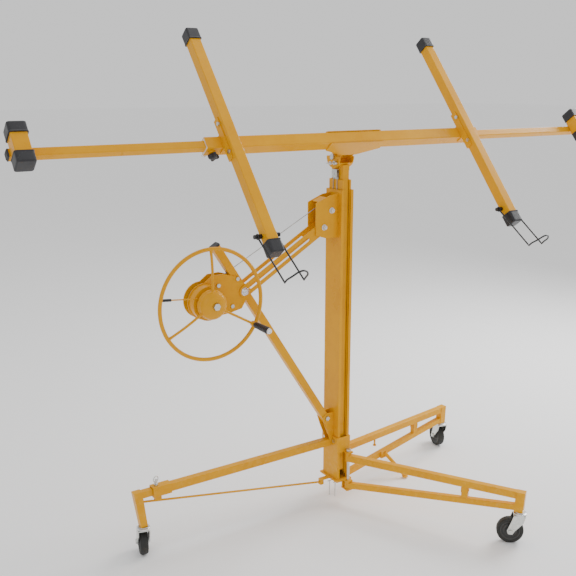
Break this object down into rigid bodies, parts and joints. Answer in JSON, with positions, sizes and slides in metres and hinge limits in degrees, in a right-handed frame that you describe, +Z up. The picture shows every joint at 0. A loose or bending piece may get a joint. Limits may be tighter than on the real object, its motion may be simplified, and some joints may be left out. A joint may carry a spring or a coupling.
{
  "type": "drywall lift",
  "caption": "Tripod panel hoist on casters: a telescoping mast with hand wheel winch and a tilting cradle with cross arms, outriggers and wire hooks.",
  "frame": {"origin": "on the floor, in the middle of the whole footprint box; the mast axis stands 258.5 mm behind it in +Y", "axes": "+X along the cradle beam towards the right end seen from the hook side, +Y towards the back of the mast, +Z up"},
  "size_m": [2.514, 0.8872, 1.8679],
  "materials": {
    "yellow_paint": "glossy powder coat, lightly worn",
    "zinc_steel": "bright zinc plate",
    "steel_cable": "twisted galvanised strand",
    "black_plastic": "moulded, satin",
    "black_wire": "black dipped wire",
    "nylon": "plain nylon",
    "caster_rubber": "satin rubber"
  },
  "bodies": {
    "base": {"mast_stage1": "yellow_paint", "stage1_glides": "nylon", "base_bracket": "yellow_paint", "leg_collar": "yellow_paint", "pulley_housing": "yellow_paint", "strut": "yellow_paint", "strut_end_cap": "black_plastic", "tie_links": "yellow_paint", "winch_frame": "yellow_paint", "brake_housing": "yellow_paint", "frame_bolts": "zinc_steel", "lift_cable": "steel_cable", "left_leg": "yellow_paint", "left_leg_end": "yellow_paint", "left_leg_rod": "yellow_paint", "leg_pins": "zinc_steel"},
    "middle_stage": {"mast_stage2": "yellow_paint", "stage2_glides": "nylon", "stage2_pulley_bracket": "zinc_steel", "stage_cable": "steel_cable"},
    "inner_stage": {"mast_stage3": "yellow_paint", "stage3_glides": "nylon", "mast_head": "yellow_paint", "tilt_bolt": "zinc_steel", "tilt_lock_pin": "zinc_steel"},
    "cradle": {"tilt_bracket": "yellow_paint", "cradle_beam": "yellow_paint", "beam_end_bushes": "nylon", "arm_saddles": "yellow_paint", "cross_arm_left": "yellow_paint", "cross_arm_right": "yellow_paint", "arm_end_caps": "black_plastic", "arm_bolts": "zinc_steel", "hook_pivots": "black_wire", "outrigger_pins": "zinc_steel"},
    "outrigger_left": {"outrigger_left": "yellow_paint", "end_caps_left": "black_plastic"},
    "outrigger_right": {"outrigger_right": "yellow_paint", "end_caps_right": "black_plastic"},
    "clamp_knob_left": {"clamp_knob_left": "black_plastic"},
    "clamp_knob_right": {"clamp_knob_right": "black_plastic"},
    "hook_left": {"hook_left": "black_wire"},
    "hook_right": {"hook_right": "black_wire"},
    "winch_wheel": {"hand_wheel": "yellow_paint", "cable_drum": "zinc_steel", "winch_shaft": "zinc_steel"},
    "crank_grip": {"crank_grip": "black_plastic"},
    "brake_lever": {"brake_lever": "yellow_paint", "brake_lever_grip": "black_plastic"},
    "mast_pulley": {"mast_pulley": "zinc_steel"},
    "stage2_pulley": {"stage2_pulley": "zinc_steel"},
    "leg_right": {"leg_right": "yellow_paint"},
    "leg_rear": {"leg_rear": "yellow_paint", "leg_stand": "yellow_paint"},
    "fork_left": {"caster_fork_left": "zinc_steel"},
    "fork_right": {"caster_fork_right": "zinc_steel"},
    "fork_rear": {"caster_fork_rear": "zinc_steel"},
    "wheel_left": {"caster_wheel_left": "caster_rubber"},
    "wheel_right": {"caster_wheel_right": "caster_rubber"},
    "wheel_rear": {"caster_wheel_rear": "caster_rubber"}
  },
  "joints": [
    {"name": "mast_lift", "type": "slide", "parent": "base", "child": "middle_stage", "axis": [0, 0, 1], "range_m": [0, 0.96]},
    {"name": "inner_lift", "type": "slide", "parent": "middle_stage", "child": "inner_stage", "axis": [0, 0, 1], "range_m": [0, 0.96]},
    {"name": "winch_turn", "type": "hinge", "parent": "base", "child": "winch_wheel", "pos_m": [-0.6, 0.2585, 0.934], "axis": [0, -1, 0], "range_deg": [0, 1720]},
    {"name": "mast_pulley_turn", "type": "hinge", "parent": "base", "child": "mast_pulley", "pos_m": [-0.05775, 0.2585, 1.214], "axis": [0, -1, 0], "range_deg": [0, 1570]},
    {"name": "stage2_pulley_turn", "type": "hinge", "parent": "middle_stage", "child": "stage2_pulley", "pos_m": [-0.02275, 0.2585, 1.348], "axis": [1, 0, 0], "range_deg": [0, 4560]},
    {"name": "crank_grip_spin", "type": "hinge", "parent": "winch_wheel", "child": "crank_grip", "pos_m": [-0.43545, 0.1585, 0.839], "axis": [0, -1, 0], "continuous": true},
    {"name": "brake_release", "type": "hinge", "parent": "base", "child": "brake_lever", "pos_m": [-0.6, 0.2585, 0.934], "axis": [0, -1, 0], "range_deg": [-12, 12]},
    {"name": "cradle_tilt", "type": "hinge", "parent": "inner_stage", "child": "cradle", "pos_m": [0, 0.2585, 1.413], "axis": [1, 0, 0], "range_deg": [-51, 14]},
    {"name": "outrigger_left_slide", "type": "slide", "parent": "cradle", "child": "outrigger_left", "axis": [1, 0, 0], "range_m": [0, 0.47]},
    {"name": "clamp_knob_left_turn", "type": "hinge", "parent": "cradle", "child": "clamp_knob_left", "pos_m": [-0.599, 0.1588, 1.45514], "axis": [0, -0.6293, -0.7771], "continuous": true},
    {"name": "hook_left_swing", "type": "hinge", "parent": "cradle", "child": "hook_left", "pos_m": [-0.54, -0.0848, 1.21232], "axis": [1, 0, 0], "range_deg": [-60, 60]},
    {"name": "outrigger_right_slide", "type": "slide", "parent": "cradle", "child": "outrigger_right", "axis": [-1, 0, 0], "range_m": [0, 0.47]},
    {"name": "clamp_knob_right_turn", "type": "hinge", "parent": "cradle", "child": "clamp_knob_right", "pos_m": [0.599, 0.1588, 1.45514], "axis": [0, -0.6293, -0.7771], "continuous": true},
    {"name": "hook_right_swing", "type": "hinge", "parent": "cradle", "child": "hook_right", "pos_m": [0.54, -0.0848, 1.21232], "axis": [1, 0, 0], "range_deg": [-60, 60]},
    {"name": "leg_right_fold", "type": "hinge", "parent": "base", "child": "leg_right", "pos_m": [0.012, 0.1885, 0.13], "axis": [0, 0, 1], "range_deg": [-112, 0]},
    {"name": "leg_rear_fold", "type": "hinge", "parent": "base", "child": "leg_rear", "pos_m": [0.05, 0.2725, 0.13], "axis": [0, 0, 1], "range_deg": [0, 80]},
    {"name": "caster_left_swivel", "type": "hinge", "parent": "base", "child": "fork_left", "pos_m": [-0.862, 0.2585, 0.11], "axis": [0, 0, 1], "continuous": true},
    {"name": "caster_left_roll", "type": "hinge", "parent": "fork_left", "child": "wheel_left", "pos_m": [-0.85346, 0.29038, 0.05], "axis": [-0.9659, 0.2588, 0], "continuous": true},
    {"name": "caster_right_swivel", "type": "hinge", "parent": "leg_right", "child": "fork_right", "pos_m": [0.36261, -0.4139, 0.11], "axis": [0, 0, 1], "continuous": true},
    {"name": "caster_right_roll", "type": "hinge", "parent": "fork_right", "child": "wheel_right", "pos_m": [0.33808, -0.39182, 0.05], "axis": [-0.6691, -0.7431, 0], "continuous": true},
    {"name": "caster_rear_swivel", "type": "hinge", "parent": "leg_rear", "child": "fork_rear", "pos_m": [0.69383, 0.36184, 0.11], "axis": [0, 0, 1], "continuous": true},
    {"name": "caster_rear_roll", "type": "hinge", "parent": "fork_rear", "child": "wheel_rear", "pos_m": [0.70237, 0.39371, 0.05], "axis": [-0.9659, 0.2588, 0], "continuous": true}
  ],
  "couplings": [
    {"joint": "inner_lift", "follows": "mast_lift", "ratio": 1},
    {"joint": "winch_turn", "follows": "mast_lift", "rad_per_m": 31.153},
    {"joint": "mast_pulley_turn", "follows": "mast_lift", "rad_per_m": 28.49},
    {"joint": "stage2_pulley_turn", "follows": "mast_lift", "rad_per_m": 82.645}
  ]
}
